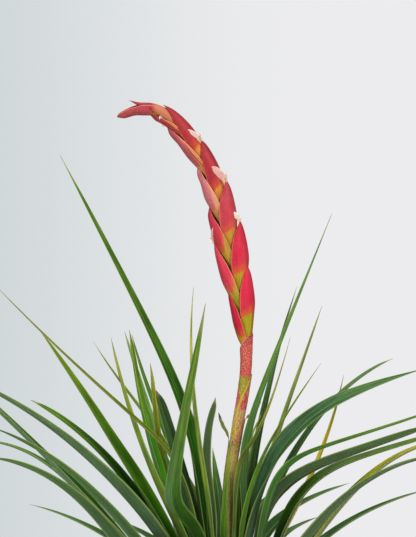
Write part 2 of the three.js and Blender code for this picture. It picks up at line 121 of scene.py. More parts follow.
# The leaves from the youngest at the top of the stem to the oldest at its foot: reach, height of
# tip, angle it rises at, angle of its tip, width, sideways sway, roll, tone, name. A leaf with no
# name is grown into the stem.
LEAVES = [
    (12.2, 89, 84.5, 58.4, 4.5, -0.1, -9.1, "green", "leaf_01"),
    (11.7, 92.9, 84.7, 103.6, 7.4, -18, 39.3, "dark", "leaf_02"),
    (51.7, 115.8, 87.1, 57.8, 3, -3.2, 2.5, "olive", "leaf_03"),
    (44, 92, 84, 40, 4.4, 0, 0, "dark", "leaf_04"),
    (14, 131, 84, 96, 4.2, 2, 20, "olive", "leaf_05"),
    (36.6, 155.1, 85.3, 67.4, 4.4, -6.8, -56.3, "dark", "leaf_06"),
    (82.2, 110.5, 77.7, 41, 4.6, -1.8, 55, "olive", "leaf_07"),
    (43, 84.8, 68, 84, 3, 5.9, 8.1, "green", "leaf_08"),
    (31, 131, 81, 66, 4.4, 1, 0, "grey", "leaf_09"),
    (55.7, 174.9, 78.3, 62.6, 7.5, 5.3, -33.7, "dark", "leaf_10"),
    (49, 107.6, 86.2, 43.4, 3.4, -7.1, 20, "green", "leaf_11"),
    (64, 72, 43, 26, 5.0, 0, 0, "dark", ""),
    (80.4, 127.2, 67.4, 81.7, 7, 56.4, 4.5, "green", "leaf_12"),
    (34.5, 124.4, 83.9, 69, 3, 10.8, -49.9, "olive", "leaf_13"),
    (23.6, 96.3, 66.5, 74.7, 5.4, 8.4, -24.9, "dark", "leaf_14"),
    (92, 54, 46, 10, 6.0, 0, 0, "dark", ""),
    (88, 58, 56, 4, 5.6, 0, 0, "dark", ""),
    (41.6, 114.7, 64.2, 78.2, 4.8, 2.7, 5.2, "olive", "leaf_15"),
    (68.8, 105.5, 84.8, 16.5, 6.4, 7.4, 35, "dark", "leaf_16"),
    (80.5, 112.8, 61.5, 64.2, 3.3, 5.6, 1.2, "dark", "leaf_17"),
    (84, 50, 48, 4, 6.0, 0, 0, "green", ""),
    (60.3, 106.3, 76.4, 22.1, 3.9, -5.5, 16.3, "grey", "leaf_18"),
    (34.8, 116.4, 64.5, 84.1, 7.9, -2.8, 0.6, "green", "leaf_19"),
    (90, 52, 44, 8, 5.6, 0, 0, "green", ""),
    (86, 54, 52, 4, 5.4, 0, 0, "dark", ""),
    (86.1, 133.8, 74.8, 43.5, 3, -12.1, -50.4, "olive", "leaf_20"),
    (69.1, 86.6, 77.3, 20.1, 5.4, -7.9, -51.4, "dark", "leaf_21"),
    (56.4, 114.8, 62.7, 63.7, 3.9, -1.8, -0.7, "grey", "leaf_22"),
    (90, 38, 42, 0, 6.2, 0, 0, "dark", ""),
    (60.1, 99.4, 54.7, 73.9, 3.2, -0.2, -0.4, "olive", "leaf_23"),
    (62.6, 116.8, 63.8, 55.8, 8.6, -0.3, -27.2, "green", "leaf_24"),
    (91.8, 96.5, 75.8, 19.3, 3, -8.4, -31.4, "green", "leaf_25"),
    (92, 46, 46, 0, 5.6, 0, 0, "dark", ""),
    (92, 44, 48, -2, 6.0, 12, 0, "green", ""),
    (78.4, 82.8, 67.1, 16.2, 7, -4.5, 12.9, "dark", "leaf_26"),
    (30.9, 104.9, 62, 84.7, 6.2, -3, 2.4, "olive", "leaf_27"),
    (96, 38, 42, 0, 6.0, 0, 0, "green", ""),
    (94, 44, 46, 0, 5.6, 0, 0, "dark", ""),
    (91.3, 103.1, 65.9, 25.7, 7.7, -4.9, 19, "grey", "leaf_28"),
    (73.9, 76.5, 60.1, 3.6, 8.4, 3.6, 0.6, "grey", "leaf_29"),
    (98, 44, 44, 0, 5.6, 0, 0, "dark", ""),
    (90, 30, 34, -4, 6.0, 0, 0, "grey", ""),
    (92, 58, 50, 6, 5.6, 0, 0, "dark", ""),
    (65.4, 93.4, 65.4, 28.5, 5.1, 7.1, -30.3, "dark", "leaf_30"),
    (94, 36, 38, -4, 5.8, 0, 0, "grey", ""),
    (92, 36, 38, -6, 5.6, 0, 0, "dark", ""),
    (97, 89.5, 47.2, 19.5, 5.9, -5.9, 9.2, "dark", "leaf_31"),
    (82.6, 79.6, 56.5, -4.6, 7.4, 0.1, 5.5, "olive", "leaf_32"),
    (92, 52, 46, 6, 5.4, 0, 0, "dark", ""),
    (88, 20, 26, -10, 6.0, 0, 0, "grey", ""),
    (96, 34, 38, -6, 5.6, 0, 0, "dark", ""),
    (95.4, 107.5, 53.8, 41, 8.6, -2, -11.1, "dark", "leaf_33"),
    (94, 26, 32, -10, 5.8, 0, 0, "grey", ""),
    (90, 22, 30, -14, 5.6, 0, 0, "grey", ""),
    (80, 0.3, 18, -26, 5.8, 0, 0, "grey", ""),
    (84, 0.3, 20, -26, 5.8, 0, 0, "grey", ""),
    (93.9, 77.4, 42.8, 0.1, 6.6, 0.2, 5.3, "green", "leaf_34"),
    (80, 0.3, 18, -26, 5.8, 0, 0, "grey", ""),
    (78, 0.3, 18, -26, 5.6, 0, 0, "grey", ""),
    (88.7, 78.4, 40.3, 9, 7.6, -3.2, 13.7, "dark", "leaf_35"),
    (90, 9, 20, -18, 5.4, 0, 0, "grey", ""),
    (78, 0.3, 16, -24, 5.4, 0, 0, "grey", ""),
]

# How single leaves differ: how many times as wide as the solid one, how full the tip, how much
# further turned in degrees, how light (partly the leaf's own tone, partly painted light and shade
# for how brightly the leaf is lit), how golden, how grey. The other leaves are as look_of says.
LOOKS = {
    "leaf_01": (1, 0, 0, 0.75, 0.2, 0), "leaf_02": (0.92, 0.8, 18, 0, 0, 0),
    "leaf_03": (0.8, 0.1, 0, 0.5, 0.35, 0), "leaf_04": (0.6, 0, 0, 0.8, 0.1, 0),
    "leaf_05": (0.62, 0.1, 0, 0.6, 0.15, 0), "leaf_06": (0.82, 0.1, 0, 0.65, 0, 0),
    "leaf_08": (0.9, 0, 0, 0.4, 0.2, 0), "leaf_10": (1, 0.2, 0, 0.45, 0, 0),
    "leaf_11": (0.85, 0, 0, 0.4, 0.15, 0), "leaf_12": (1, 0.35, 0, 0.12, 0, 0),
    "leaf_13": (1.1, 0.2, 0, 0.25, 0.3, 0), "leaf_14": (1.05, 1, 0, 0.7, 0, 0.6),
    "leaf_15": (1.1, 0.3, 0, 0.6, 0, 0), "leaf_16": (1.35, -0.1, 28, 0.66, 0, 0.55),
    "leaf_17": (1, 0.3, 0, 0.5, 0, 0.1), "leaf_18": (0.95, 0.6, 0, 0.3, 0, 0.25),
    "leaf_19": (1.1, 0.5, 0, 0.6, 0, 0), "leaf_20": (1, 0.2, 0, 0.2, 0.15, 0),
    "leaf_21": (1.1, 0.7, 0, 0, 0, 0), "leaf_22": (1.05, 0.4, 0, 1, 0, 0),
    "leaf_23": (1, 0.2, 0, 0.6, 0.8, 0), "leaf_24": (1.05, 0.15, 0, 0.24, 0.08, 0),
    "leaf_25": (1, 0.5, 0, 0.3, 0, 0.35), "leaf_26": (0.95, 0.6, 0, 0.25, 0.05, 0),
    "leaf_27": (1.1, 0.5, 0, 0.85, 0, 0), "leaf_28": (0.95, 0.3, 0, 0.45, 0, 0.3),
    "leaf_29": (1.1, 0.3, 0, 0.3, 0.05, 0), "leaf_30": (1.15, 0.5, 0, 0.42, 0, 0.05),
    "leaf_31": (1, 0.2, 0, 0.3, 0, 0.05), "leaf_32": (1, 0.2, 0, 0.45, 0.45, 0),
    "leaf_33": (1.1, 0.4, 0, 0.4, 0, 0.1), "leaf_34": (1, 0.3, 0, 0.2, 0, 0.15),
    "leaf_35": (1, 0.5, 0, 0.3, 0, 0.15),
}

# How far a leaf keeps its heading at its foot and at its tip, as a part of its chord
HOLD_USUAL = (0.36, 0.36)
HOLD = {
    "leaf_03": (0.71, 0.74),
    "leaf_06": (0.51, 0.83),
    "leaf_10": (0.43, 0.8),
    "leaf_11": (0.38, 0.52),
    "leaf_12": (0.46, 0.74),
    "leaf_16": (0.56, 0.44),
    "leaf_20": (0.58, 0.76),
    "leaf_21": (0.56, 0.69),
    "leaf_25": (0.61, 0.72),
    "leaf_26": (0.63, 0.63),
}

# The middle line of the stalk and the spike, as (x, z), and its radius at lengths along it
STALK_POINTS = [
    (0, STEM_TOP + CLEAR), (-0.3, 52), (0, 67.7), (1.7, 80), (4.3, 93.3), (6.2, 103.3),
    (6.4, 113.3), (5.1, 123.3), (2.8, 136), (-0.9, 152.7), (-4.7, 166.3), (-9.3, 175),
    (-15.5, 183.4), (-22.5, 188.8), (-29.5, 190), (-37, 187.6),
]
STALK_RADIUS = [(0, 1.5), (45, 1.15), (59, 1.15), (67, 0.68), (160, 0.5)]


# Curves and seeded noise

def along(pairs, t):
    """Value of a curve given as (position, value) pairs, eased between them."""
    if t <= pairs[0][0]:
        return pairs[0][1]
    for (t0, v0), (t1, v1) in zip(pairs, pairs[1:]):
        if t <= t1:
            k = (t - t0) / (t1 - t0)
            return v0 + (v1 - v0) * (0.5 * k + 0.5 * k * k * (3 - 2 * k))
    return pairs[-1][1]


def smooth(pairs, t):
    """The same kind of curve with no kink at its pairs."""
    if t <= pairs[0][0]:
        return pairs[0][1]
    if t >= pairs[-1][0]:
        return pairs[-1][1]
    i = next(j for j in range(1, len(pairs)) if t <= pairs[j][0])
    (t0, v0), (t1, v1) = pairs[i - 1], pairs[i]
    step = t1 - t0
    before = pairs[i - 2] if i > 1 else pairs[i - 1]
    after = pairs[i + 1] if i + 1 < len(pairs) else pairs[i]
    m0 = (v1 - before[1]) / (t1 - before[0]) * step
    m1 = (after[1] - v0) / (after[0] - t0) * step
    k = (t - t0) / step
    k2, k3 = k * k, k * k * k
    return ((2 * k3 - 3 * k2 + 1) * v0 + (k3 - 2 * k2 + k) * m0
            + (3 * k2 - 2 * k3) * v1 + (k3 - k2) * m1)


def ramp(t, low, high):
    """0 up to low, 1 from high on, eased between."""
    k = min(1.0, max(0.0, (t - low) / (high - low)))
    return k * k * (3 - 2 * k)


class Draw:
    """The seeded noise of the solid model."""

    def __init__(self, seed):
        self.seed = seed

    def about(self, spread):
        self.seed = (self.seed * 1664525 + 1013904223) % 4294967296
        return (self.seed / 4294967296 * 2 - 1) * spread


def wander(x, seed):
    """Smooth noise from -1 to 1 along one line."""
    return noise.noise(Vector((x, seed * 7.31, 3.7)))


def bezier(p, t):
    k = 1 - t
    return p[0] * k**3 + p[1] * 3 * k * k * t + p[2] * 3 * k * t * t + p[3] * t**3


def heading(line, t, d=1e-3):
    return (line(min(1, t + d)) - line(max(0, t - d))).normalized()


class Line:
    """A smooth line through points, followed by length."""

    LOOK_AHEAD = 0.4

    def __init__(self, points, pieces=60):
        points = [Vector(p) for p in points]
        first = points[0] * 2 - points[1]
        last = points[-1] * 2 - points[-2]
        run = [first, *points, last]
        self.points = [points[0]]
        for p0, p1, p2, p3 in zip(run, run[1:], run[2:], run[3:]):
            d0, d1, d2 = ((b - a).length ** 0.5 for a, b in ((p0, p1), (p1, p2), (p2, p3)))
            m1 = ((p1 - p0) / d0 - (p2 - p0) / (d0 + d1) + (p2 - p1) / d1) * d1
            m2 = ((p2 - p1) / d1 - (p3 - p1) / (d1 + d2) + (p3 - p2) / d2) * d1
            for i in range(1, pieces + 1):
                k = i / pieces
                k2, k3 = k * k, k * k * k
                self.points.append(
                    p1 * (2 * k3 - 3 * k2 + 1) + m1 * (k3 - 2 * k2 + k)
                    + p2 * (3 * k2 - 2 * k3) + m2 * (k3 - k2)
                )
        self.lengths = [0.0]
        for a, b in zip(self.points, self.points[1:]):
            self.lengths.append(self.lengths[-1] + (b - a).length)
        self.total = self.lengths[-1]

    def place(self, s):
        s_in = min(self.total, max(0.0, s))
        low, high = 0, len(self.lengths) - 1
        while high - low > 1:
            mid = (low + high) // 2
            if self.lengths[mid] <= s_in:
                low = mid
            else:
                high = mid
        a, b = self.points[low], self.points[high]
        return a.lerp(b, (s_in - self.lengths[low]) / (self.lengths[high] - self.lengths[low]))

    def at(self, s):
        """Point and heading at length s; past its ends the line runs on straight."""
        s_in = min(self.total, max(0.0, s))
        before = self.place(max(0, s_in - self.LOOK_AHEAD))
        after = self.place(min(self.total, s_in + self.LOOK_AHEAD))
        ahead = (after - before).normalized()
        return self.place(s_in) + ahead * (s - s_in), ahead


# Meshes

class Rings:
    """The points of one shell, ring by ring, with the place and the grain of each."""

    def __init__(self):
        self.points, self.place, self.grain = [], [], []

    def start(self):
        for rows in (self.points, self.place, self.grain):
            rows.append([])

    def add(self, point, place, grain):
        self.points[-1].append(point)
        self.place[-1].append(place)
        self.grain[-1].append(grain)


class Body:
    """Closed shells that make up one piece. Each point carries three vectors for its material:
    place (part of the length, part of the width, 1 on the outer face), grain (mm across, mm
    along, a number of its own) and own (what sets this shell apart from its like)."""

    def __init__(self):
        self.points, self.faces, self.finish = [], [], []
        self.place, self.grain, self.own = [], [], []

    def shell(self, rings, finish=0, own=(0, 0, 0)):
        first, count, n = len(self.points), len(rings.points), len(rings.points[0])
        faces = []
        for i in range(count - 1):
            a = first + i * n
            for j in range(n):
                k = (j + 1) % n
                faces.append((a + j, a + k, a + n + k, a + n + j))
        for end, (row, turn) in enumerate(((0, -1), (count - 1, 1))):
            hub = first + count * n + end
            a = first + row * n
            faces += [(hub, a + j, a + (j + 1) % n)[::turn] for j in range(n)]
        points = [p for ring in rings.points for p in ring]
        points += [sum(rings.points[end], Vector()) / n for end in (0, -1)]
        for kept, rows in ((self.place, rings.place), (self.grain, rings.grain)):
            kept += [v for row in rows for v in row] + [rows[0][0], rows[-1][0]]
        volume = 0.0
        for face in faces:
            corners = [points[v - first] for v in face]
            for b, c in zip(corners[1:], corners[2:]):
                volume += corners[0].dot(b.cross(c))
        self.faces += faces if volume > 0 else [f[::-1] for f in faces]
        self.points += points
        self.own += [own] * len(points)
        self.finish += [finish] * len(faces)

    def piece(self, name, materials, slot, *nodes):
        """The shells as one smooth object that stands for these nodes of the solid model."""
        mesh = bpy.data.meshes.new(name)
        mesh.from_pydata([p * MM for p in self.points], [], self.faces)
        for title, values in (("place", self.place), ("grain", self.grain), ("own", self.own)):
            layer = mesh.attributes.new(title, "FLOAT_VECTOR", "POINT")
            layer.data.foreach_set("vector", [c for v in values for c in v])
        mesh.polygons.foreach_set("use_smooth", [True] * len(mesh.polygons))
        for material in materials:
            mesh.materials.append(material)
        mesh.polygons.foreach_set("material_index", self.finish)
        made = bpy.data.objects.new(name, mesh)
        bpy.context.scene.collection.objects.link(made)
        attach(made, "root")
        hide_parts(*nodes)


# Leaves

def look_of(name, index):
    return LOOKS.get(name, (1, 0, 0, 0.35 + 0.15 * wander(index, 3), 0, 0.1))


def leaf_width(width, full, t):
    """full turns the needle tip of most leaves into the blunt tip of some."""
    shape = [(0, FOOT_WIDTH), (0.12, 0.62 * width), (0.3, width),
             (0.65, (0.62 + 0.22 * full) * width), (0.86, (0.3 + 0.38 * full) * width),
             (0.95, (0.115 + 0.42 * full) * width), (1, 0.1)]
    return smooth(shape, t)


def add_leaf(body, row, index, draw, finish):
    """A channelled blade with thin margins that tapers to a needle tip."""
    reach, height, rise, dip, width, sway, roll, _, name = row
    wider, full, turned, *own = look_of(name, index)
    width, roll = width * wider, roll + turned
    turn = math.radians(FIRST_TURN + index * TURN + draw.about(TURN_SPREAD))
    z0 = LEAF_TOP - index * LEAF_PITCH
    start = along(STEM_RADIUS, z0) + (CLEAR + MIDRIB / 2 if name else -GROWN_IN)
    out = Vector((math.cos(turn), math.sin(turn), 0))
    across = Vector((-math.sin(turn), math.cos(turn), 0))
    chord = math.hypot(reach - start, height - z0)
    low, high = (part * chord for part in HOLD.get(name, HOLD_USUAL))
    a, b = math.radians(rise), math.radians(dip)

    def spot(r, z, side):
        return out * r + across * side + Vector((0, 0, z))

    handles = [
        spot(start, z0, 0),
        spot(start + low * math.cos(a), z0 + low * math.sin(a), 0),
        spot(reach - high * math.cos(b), height - high * math.sin(b), sway * 0.4),
        spot(reach, height, sway),
    ]

    def line(t):
        return bezier(handles, t)

    rings = Rings()
    length, before = 0.0, line(0)
    for i in range(LEAF_STEPS + 1):
        t = i / LEAF_STEPS
        p = line(t)
        length += (p - before).length
        before = p.copy()
        ahead = heading(line, t)
        side = (across - ahead * across.dot(ahead)).normalized()
        up = ahead.cross(side).normalized()
        spin = Quaternion(ahead, math.radians(roll) * min(1, 2 * t))
        side.rotate(spin)
        up.rotate(spin)
        free = math.sin(math.pi * t)
        p = (p + side * (SIDE_WANDER * free * wander(2.3 * t, index))
             + up * (UP_WANDER * free * wander(2.9 * t, index + 0.5)))
        half = leaf_width(width, full, t) / 2
        fold = half * CHANNEL * (1 - 0.35 * t) * min(1, 0.35 + 5 * t)
        rib = (MIDRIB * (1 - t) + MIDRIB_TIP * t) * min(1, 0.15 + 9 * (1 - t))
        rings.start()
        for top in (0, 1):
            for j in range(-HALF_POINTS, HALF_POINTS + 1):
                s = j / HALF_POINTS if not top else -j / HALF_POINTS
                curl = 1 + 0.2 * wander(5 * t, index + (0.2 if s > 0 else 0.7))
                middle = fold * curl * abs(s) ** 1.25
                thick = rib * (1 - 0.78 * abs(s) ** 1.6)
                rings.add(p + side * (half * s) + up * (middle + (top - 0.5) * thick),
                          (t, s, top), (half * s, length, index * OWN_STEP + top))
    body.shell(rings, finish, tuple(own))


# Stalk and spike

STALK = Line([(x, 0, z) for x, z in STALK_POINTS])


def stalk_at(s):
    """Point of the stalk at length s, its heading, the way to the right-hand row, the front."""
    at, ahead = STALK.at(s)
    right = Vector((0, 1, 0)).cross(ahead).normalized()
    front = Vector((0, -1, 0))
    roll = math.radians(SPIKE_ROLL * min(1, max(0, (s - ROLL_START) / ROLL_RUN)))
    out = right * math.cos(roll) + front * math.sin(roll)
    face = front * math.cos(roll) - right * math.sin(roll)
    return at, ahead, out, face


# Shape of a flower bract along its length, for one whose keel stands 1 out at its widest: where its
# keel and its margins lie. The lowest bract has its own keel and the last one its own margins, and
# from halfway on the bracts in LATE_KEEL keep only that part of their keel.
KEEL = [(0, 0.32), (0.15, 0.47), (0.32, 0.7), (0.5, 0.93), (0.7, 1), (0.88, 0.99)]
FIRST_KEEL = [(0, 0.2), (0.1, 0.28), (0.2, 0.43), (0.32, 0.74), (0.5, 0.95), (0.7, 1), (0.88, 0.99)]
LATE_KEEL = {4: 0.94, 6: 0.84, 8: 0.93, 12: 0.66}
MARGIN = [(0, -0.18), (0.15, -0.22), (0.3, -0.2), (0.42, -0.12), (0.54, -0.02), (0.68, 0.16)]
END_MARGIN = [(0, -0.4), (0.3, -1.0), (0.5, -0.92), (0.65, -0.74), (0.8, -0.62), (0.95, -0.45)]

# Half the thickness of the folded bract along its length, how much of that its margins keep, and
# the thickness of its wall
HALF = [(0, 1.35), (0.14, 1.55), (0.3, 2.15), (0.48, 2.9), (0.68, 2.8), (0.85, 1.95), (0.94, 1.2),
        (1, 0.2)]
CLOSE = [(0, 0.9), (0.3, 0.97), (0.6, 1), (0.8, 0.9), (1, 0.8)]
BRACT_THICK = 0.3
BRACT_RINGS = 60
FOLD_POINTS = 14

# Marks the wilted bract next to the tip
WILTED = -1


def bract_base(i):
    late = max(0, i - LATE)
    return BRACT_FIRST + i * BRACT_PITCH - CROWDING * late * late


def keel_out(i, u):
    _, peak, tip, _, _ = SCALES[i]
    late = 1 - (1 - LATE_KEEL.get(i, 1)) * ramp(u, 0.5, 0.85)
    return peak * smooth((KEEL if i else FIRST_KEEL) + [(1, tip / peak / late)], u) * late


def margin_out(i, u):
    _, peak, tip, wrap, _ = SCALES[i]
    if i == BRACTS - 1:
        return peak * smooth(END_MARGIN + [(1, -0.3 / peak)], u)
    drawn_in = min(1, tip / peak / 0.85)
    late = [(0.8, 0.38 * drawn_in**0.5), (0.9, 0.62 * drawn_in), (1, tip / peak)]
    return peak * smooth(MARGIN + late, u) - wrap * ramp(u, 0.1, 0.35) * (1 - ramp(u, 0.82, 1))


def fold_profile(k, close):
    """Half-thickness of a folded scale, as a part of its largest, from its keel to its margin."""
    if k < 0.7:
        return (1 - (1 - k / 0.7) ** 2) ** 0.68
    return 1 - (1 - close) * ((k - 0.7) / 0.3) ** 2


def free_part(u):
    return ramp(u, 0.3, 0.5) * (1 - ramp(u, 0.9, 1))


def bract_own(i):
    """How far a bract has the colours of the youngest, how pale its bloom is, and how far its foot
    colour climbs up its margins. The wilted bract next to the tip has WILTED for the last."""
    young = ramp(i, 1, 8) if i else 0.5
    climb = 0 if i % 2 or i == BRACTS - 1 else ramp(i, -2, 9)
    return young, SCALES[i][4], WILTED if i == BRACTS - 2 else climb


def add_bract(body, i):
    sign = 1 if i % 2 else -1
    base = bract_base(i)
    length, peak, *_ = SCALES[i]
    rings = Rings()
    for step in range(BRACT_RINGS + 1):
        u = step / BRACT_RINGS
        at, ahead, out, face = stalk_at(base + length * u)
        keel = keel_out(i, u)
        margin = min(margin_out(i, u), keel - 0.12)
        half = smooth(HALF, u) * (0.45 + 0.11 * min(5.0, peak))
        close = smooth(CLOSE, u)
        wide = keel - margin
        wall = min(BRACT_THICK * 1.2, wide * 0.5)
        deep = max(half - BRACT_THICK, 0.04) / half
        rings.start()
        for inner in (0, 1):
            inset = wall if inner else 0
            for j in range(-FOLD_POINTS, FOLD_POINTS + 1):
                j = -j if inner else j
                k = (abs(j) / FOLD_POINTS) ** 1.2
                n = fold_profile(k, close) * half * (1 if j < 0 else -1)
                ripple = 0.12 * wander(9 * u, i + (0.3 if j < 0 else 0.8)) * ramp(k, 0.7, 1)
                a = keel - inset - (wide - inset) * k + ripple * free_part(u)
                across = k * wide * (1 if j < 0 else -1)
                rings.add(at + out * (sign * a) + face * (n * deep if inner else n),
                          (u, k, 1 - inner), (across, length * u, i * OWN_STEP + inner))
    body.shell(rings, own=bract_own(i))


def tube(body, line, radii, seed, sides, steps, ridges=0.0):
    """A round stem along a line of (point, ahead, out, face) with a radius at each length."""
    rings = Rings()
    low, high = radii[0][0], radii[-1][0]
    for i in range(steps + 1):
        s = low + (high - low) * i / steps
        at, _, out, face = line(s)
        r = smooth(radii, s)
        rings.start()
        for j in range(sides):
            q = j / sides * 2 * math.pi
            bump = r * (1 + ridges * wander(4 * math.sin(q) + 0.11 * s, seed))
            rings.add(at + out * (bump * math.cos(q)) - face * (bump * math.sin(q)),
                      (i / steps, math.cos(q), 1), (r * q, s, seed))
    body.shell(rings)


# Sheathing bracts of the stalk: length along the stalk, distance from its middle, and the
# directions between which it wraps round, in degrees from the right-hand row over the front
SHEATHS = {
    "stalk_bract_01": [
        (10, 1.9, -5, 355), (20, 1.95, -5, 355), (35, 1.95, -5, 355), (38, 1.98, 35, 315),
        (40.5, 2.0, 95, 255), (43.7, 2.1, 157, 193), (45.8, 3.1, 162, 182), (48, 4.9, 164, 180),
        (50, 6.1, 167, 177), (51.8, 6.9, 171.2, 173.6)],
    "stalk_bract_02": [
        (28, 1.4, -165, 195), (32, 1.66, -165, 195), (42, 1.74, -165, 195), (43.6, 1.84, -120, 140),
        (45.5, 1.9, -70, 96), (48, 1.95, -36, 66), (51.2, 2.1, -6, 34), (52.4, 2.9, 3, 23),
        (53.6, 4.2, 6, 20), (55, 5.4, 7.5, 17.5), (56.6, 6.0, 9, 15.5), (58.4, 6.6, 11.2, 13.2)],
    "stalk_bract_03": [
        (41.5, 1.35, -185, 175), (45, 1.62, -188, 172), (49, 1.7, -210, 150), (54, 1.74, -235, 125),
        (58.6, 1.8, -258, 102), (61.8, 1.86, -214, 66), (64, 1.92, -172, 46), (65.3, 1.98, -80, 32),
        (66.6, 2.1, 2, 14)],
    "stalk_bract_04": [
        (56.5, 1.3, -140, 220), (60.5, 1.62, -140, 220), (66, 1.7, -140, 220),
        (72, 1.82, -140, 214), (74, 1.9, -122, 186), (76, 1.96, -98, 138), (78, 2.02, -62, 92),
        (79.8, 2.2, 2, 26)],
}
SHEATH_THICK = 0.26
SHEATH_STEPS = 110
SHEATH_POINTS = 24

# How far the sheaths lie to the right of the middle of the stalk, at lengths along it
SHEATH_SHIFT = [(20, 0.3), (32, 0.7), (42, 0.8), (50, 0.5), (58, 0.35), (62, 0.1), (66, -0.2),
                (74, -0.4), (80, -0.15)]


def add_sheath(body, stations, seed):
    """A sheath wrapped round the stalk, one margin over the other, that opens and runs out in a
    narrow blade."""
    rings = Rings()
    low, high = stations[0][0], stations[-1][0]
    columns = [[(row[0], row[n]) for row in stations] for n in (1, 2, 3)]
    for i in range(SHEATH_STEPS + 1):
        u = i / SHEATH_STEPS
        s = low + (high - low) * u
        at, ahead, out, face = stalk_at(s)
        at = at + out * smooth(SHEATH_SHIFT, s)
        r, start, end = (along(column, s) for column in columns)
        thin = SHEATH_THICK * (1 - 0.5 * u)
        over = 0.16 * ramp(end - start, 200, 330)
        slope = (along(columns[0], s + 0.2) - along(columns[0], s - 0.2)) / 0.4
        middle = math.radians((start + end) / 2)
        aside = out * math.cos(middle) + face * math.sin(middle)
        flat = (aside - ahead * slope).normalized() * 0.9 - face * 0.44
        blade = ramp(r, 2.1, 3.2)
        rings.start()
        for inner in (0, 1):
            for j in range(-SHEATH_POINTS, SHEATH_POINTS + 1):
                j = -j if inner else j
                e = j / SHEATH_POINTS
                q = math.radians((start + end) / 2 + e * (end - start) / 2)
                edge = thin * (1 - 0.7 * abs(e) ** 3)
                skin = edge / 2 if not inner else -edge / 2
                radius = r + 0.1 + over * ramp(e, 0.5, 1.0) + skin
                radius += 0.07 * wander(0.9 * s, seed + 2 * e) * ramp(u, 0.05, 0.3)
                round_spot = at + out * (radius * math.cos(q)) + face * (radius * math.sin(q))
                wide = r * math.radians(end - start) / 2
                lift = face * skin * 0.8
                flat_spot = at + aside * r + flat * (wide * e) + lift
                rings.add(round_spot.lerp(flat_spot, blade),
                          (u, e, 1 - inner), (r * q, s, seed + inner))
    body.shell(rings)


# Flowers: a tube inside the folded bract, behind its keel, and three petals. Each petal has the
# points of its middle line (length along the stalk past the tip of the bract, how far out from the
# tip, how far to the front) and its half width. BLOOM_SIZE is the size of the flower of each bract.
TUBE_R = 0.3
TUBE_START = 8.5
TUBE_END = 1.2
BEHIND_KEEL = 0.85
PETALS = [
    ([(-1.6, -0.7, 0.2), (0.6, -0.6, 1.0), (2.8, -1.5, 1.9), (5.0, -2.9, 2.3)], 1.5),
    ([(-1.6, -0.6, 0.0), (-0.2, -0.1, 0.6), (0.7, 0.5, 1.1), (1.4, 1.3, 1.2)], 1.0),
    ([(-1.6, -0.7, -0.2), (0.2, -0.4, -0.9), (1.6, -0.5, -1.7), (3.0, -0.8, -2.3)], 1.4),
]
BLOOM_SIZE = {2: 0.95, 3: 0.6, 5: 1.0, 7: 0.97, 8: 0.7}
PETAL_SHAPE = [(0, 0.3), (0.2, 0.5), (0.5, 0.9), (0.75, 1), (0.92, 0.78), (1, 0.35)]
PETAL_STEPS = 26
PETAL_POINTS = 8


def add_flower(body, i):
    sign = 1 if i % 2 else -1
    base = bract_base(i)
    length, peak, tip, *_ = SCALES[i]

    def spot(s, out_by, to_front):
        at, _, out, face = stalk_at(base + s)
        return at + out * (sign * out_by) + face * to_front

    def tube_line(s):
        _, ahead, out, face = stalk_at(base + s)
        return spot(s, keel_out(i, s / length) - BEHIND_KEEL, 0), ahead, out, face

    low, high = TUBE_START, length - TUBE_END
    radii = [(low, TUBE_R * 0.8), (high - 3, TUBE_R * 0.9), (high, TUBE_R * 1.2)]
    tube(body, tube_line, radii, i, sides=10, steps=24)
    size = BLOOM_SIZE[i]
    for number, (path, half_width) in enumerate(PETALS):
        points = [spot(length + s * size, tip + a * size, n * size) for s, a, n in path]
        line = Line(points, 12)
        bend = (points[-1] - points[-2]).cross(points[1] - points[0]).normalized()
        if number == 0:
            bend = (points[-1] - points[0]).cross(Vector((0, -1, 0))).normalized()
        rings = Rings()
        for step in range(PETAL_STEPS + 1):
            u = step / PETAL_STEPS
            at, ahead = line.at(u * line.total)
            across = (bend - ahead * bend.dot(ahead)).normalized()
            normal = ahead.cross(across)
            half = half_width * size * smooth(PETAL_SHAPE, u)
            rings.start()
            for back in (0, 1):
                for j in range(-PETAL_POINTS, PETAL_POINTS + 1):
                    e = (j if not back else -j) / PETAL_POINTS
                    cup = 0.3 * half * e * e * (1 - u)
                    ruffle = 0.2 * wander(4 * u + 2 * e, i * 3.3 + number) * abs(e)
                    thick = 0.09 * (1 - 0.6 * e * e) * (1 if not back else -1)
                    rings.add(at + across * (half * e) + normal * (cup + ruffle + thick),
                              (u, e, 1 - back),
                              (half * e, line.total * u, i * OWN_STEP + number))
        body.shell(rings)


# Materials

